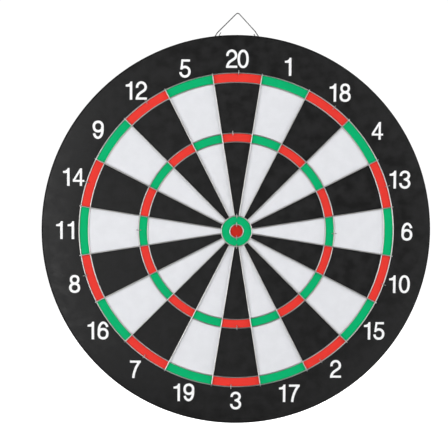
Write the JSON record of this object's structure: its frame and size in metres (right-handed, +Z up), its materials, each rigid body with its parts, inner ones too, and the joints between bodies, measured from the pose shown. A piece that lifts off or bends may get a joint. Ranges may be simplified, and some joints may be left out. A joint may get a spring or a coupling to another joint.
{
  "type": "dartboard",
  "caption": "Round wall dartboard: flocked printed face over a steel sheet and wound core, stapled wire spider, rim band, swinging wire hanger and wall pads.",
  "frame": {"origin": "the hanging point: the underside of the hanger wire's apex, where the wall nail bears", "axes": "+Z up the board, -Y out of the printed face towards the player, +Y towards the wall, +X to the player's right"},
  "size_m": [0.4332, 0.0262, 0.4602],
  "materials": {
    "black_field": "matte flocked black print",
    "white_field": "matte flocked white print",
    "red_bed": "matte flocked red print",
    "green_bed": "matte flocked green print",
    "number_paint": "thick white screen-printed ink",
    "spider_wire": "bright drawn wire",
    "staple_wire": "bright staple wire",
    "hanger_steel": "dull grey wire",
    "target_steel": "mill-finish sheet",
    "wound_paper": "tight-wound paper",
    "backing_board": "dark fibreboard",
    "rim_vinyl": "black vinyl band",
    "pad_rubber": "matte rubber"
  },
  "bodies": {
    "board": {"printed_face": "black_field", "steel_target_sheet": "target_steel", "core_board": "wound_paper", "back_cover": "backing_board", "rim_band": "rim_vinyl", "double_outer_wire": "spider_wire", "double_inner_wire": "spider_wire", "treble_outer_wire": "spider_wire", "treble_inner_wire": "spider_wire", "outer_bull_wire": "spider_wire", "inner_bull_wire": "spider_wire", "radial_wire_01": "spider_wire", "radial_wire_02": "spider_wire", "radial_wire_03": "spider_wire", "radial_wire_04": "spider_wire", "radial_wire_05": "spider_wire", "radial_wire_06": "spider_wire", "radial_wire_07": "spider_wire", "radial_wire_08": "spider_wire", "radial_wire_09": "spider_wire", "radial_wire_10": "spider_wire", "radial_wire_11": "spider_wire", "radial_wire_12": "spider_wire", "radial_wire_13": "spider_wire", "radial_wire_14": "spider_wire", "radial_wire_15": "spider_wire", "radial_wire_16": "spider_wire", "radial_wire_17": "spider_wire", "radial_wire_18": "spider_wire", "radial_wire_19": "spider_wire", "radial_wire_20": "spider_wire", "double_staple_20": "staple_wire", "double_staple_18": "staple_wire", "double_staple_13": "staple_wire", "double_staple_10": "staple_wire", "double_staple_2": "staple_wire", "double_staple_3": "staple_wire", "double_staple_7": "staple_wire", "double_staple_8": "staple_wire", "double_staple_14": "staple_wire", "double_staple_12": "staple_wire", "treble_staple_20": "staple_wire", "treble_staple_6": "staple_wire", "treble_staple_3": "staple_wire", "treble_staple_11": "staple_wire", "outer_bull_staple_top": "staple_wire", "outer_bull_staple_bottom": "staple_wire", "inner_bull_staple_top": "staple_wire", "inner_bull_staple_bottom": "staple_wire", "hanger_staple_left": "staple_wire", "hanger_staple_right": "staple_wire", "wall_pad_left": "pad_rubber", "wall_pad_right": "pad_rubber", "wall_pad_bottom": "pad_rubber"},
    "hanger": {"hanger_wire": "hanger_steel"}
  },
  "joints": [
    {"name": "hanger_swing", "type": "hinge", "parent": "board", "child": "hanger", "pos_m": [-0.00078, 0.00126, -0.03534], "axis": [-1, 0, 0], "range_deg": [0, 180]}
  ]
}
